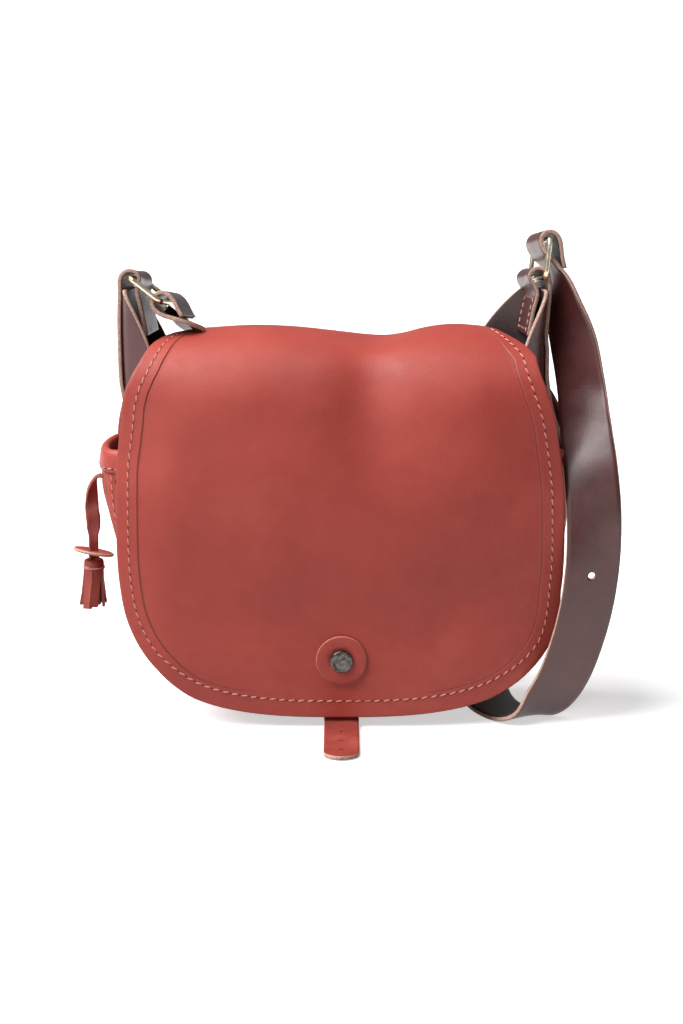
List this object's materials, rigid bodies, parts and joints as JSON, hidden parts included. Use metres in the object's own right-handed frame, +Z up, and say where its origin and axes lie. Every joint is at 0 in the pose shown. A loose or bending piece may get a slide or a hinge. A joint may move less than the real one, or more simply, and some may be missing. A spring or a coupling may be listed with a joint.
{
  "type": "leather crossbody bag",
  "caption": "Saddle-shaped leather crossbody bag with a deep rounded flap, drawstring collar and a wide shoulder strap held by rings.",
  "frame": {"origin": "middle of the pouch's flat base, on the surface it stands on", "axes": "+Z up, -Y the front that the flap covers, +X to the right seen from the front"},
  "size_m": [0.3137, 0.1741, 0.2822],
  "materials": {
    "body_leather": "satin",
    "bridle_leather": "satin",
    "pale_brass": "polished",
    "gunmetal": "satin"
  },
  "bodies": {
    "root": {"back_panel": "body_leather", "front_panel": "body_leather", "side_gusset": "body_leather", "rim_hem": "body_leather", "drawstring": "body_leather", "closure_stud": "gunmetal", "flap_top": "body_leather", "wing_left": "bridle_leather", "wing_right": "bridle_leather", "ring_tab_left": "bridle_leather", "ring_tab_right": "bridle_leather"},
    "flap": {"flap": "body_leather", "flap_edge_band": "body_leather", "flap_washer": "body_leather", "rivet_cap": "gunmetal", "rivet_back": "gunmetal", "closure_strap_root": "body_leather"},
    "closure_tab": {"closure_tab": "body_leather"},
    "ring_right": {"ring_right": "pale_brass"},
    "strap_right": {"strap_right": "bridle_leather"},
    "ring_left": {"ring_left": "pale_brass"},
    "strap_left": {"strap_left": "bridle_leather", "buckle_frame": "pale_brass", "strap_keeper": "bridle_leather"},
    "buckle_prong": {"buckle_prong": "pale_brass"},
    "thong_end": {"drawstring_tail": "body_leather", "tassel": "body_leather"},
    "cord_slider": {"cord_slider": "body_leather"}
  },
  "joints": [
    {"name": "flap_hinge", "type": "hinge", "parent": "root", "child": "flap", "pos_m": [0, -0.031, 0.213], "axis": [-1, 0, 0], "range_deg": [0, 115]},
    {"name": "closure_tab_hinge", "type": "hinge", "parent": "flap", "child": "closure_tab", "pos_m": [0, -0.0383, 0.0088], "axis": [1, 0, 0], "range_deg": [0, 95]},
    {"name": "ring_right_swing", "type": "hinge", "parent": "root", "child": "ring_right", "pos_m": [0.1124, 0.006, 0.2528], "axis": [0.15, -0.9801, 0.13], "range_deg": [0, 30]},
    {"name": "strap_right_swing", "type": "hinge", "parent": "ring_right", "child": "strap_right", "pos_m": [0.115, 0.0093, 0.2744], "axis": [0.15, -0.9801, 0.13], "range_deg": [0, 110]},
    {"name": "ring_left_swing", "type": "hinge", "parent": "root", "child": "ring_left", "pos_m": [-0.1172, 0.006, 0.2528], "axis": [-0.15, -0.9801, 0.13], "range_deg": [0, 90]},
    {"name": "strap_left_swing", "type": "hinge", "parent": "ring_left", "child": "strap_left", "pos_m": [-0.1001, 0.0016, 0.2397], "axis": [-0.15, -0.9801, 0.13], "range_deg": [0, 60]},
    {"name": "buckle_prong_hinge", "type": "hinge", "parent": "strap_left", "child": "buckle_prong", "pos_m": [-0.066, 0.054, 0.112], "axis": [1, 0, 0], "range_deg": [0, 100]},
    {"name": "thong_end_swing", "type": "hinge", "parent": "root", "child": "thong_end", "pos_m": [-0.1386, -0.01, 0.1438], "axis": [0, 1, 0], "range_deg": [0, 60]},
    {"name": "slider_travel", "type": "slide", "parent": "thong_end", "child": "cord_slider", "axis": [0, 0, 1], "range_m": [0, 0.007]}
  ]
}
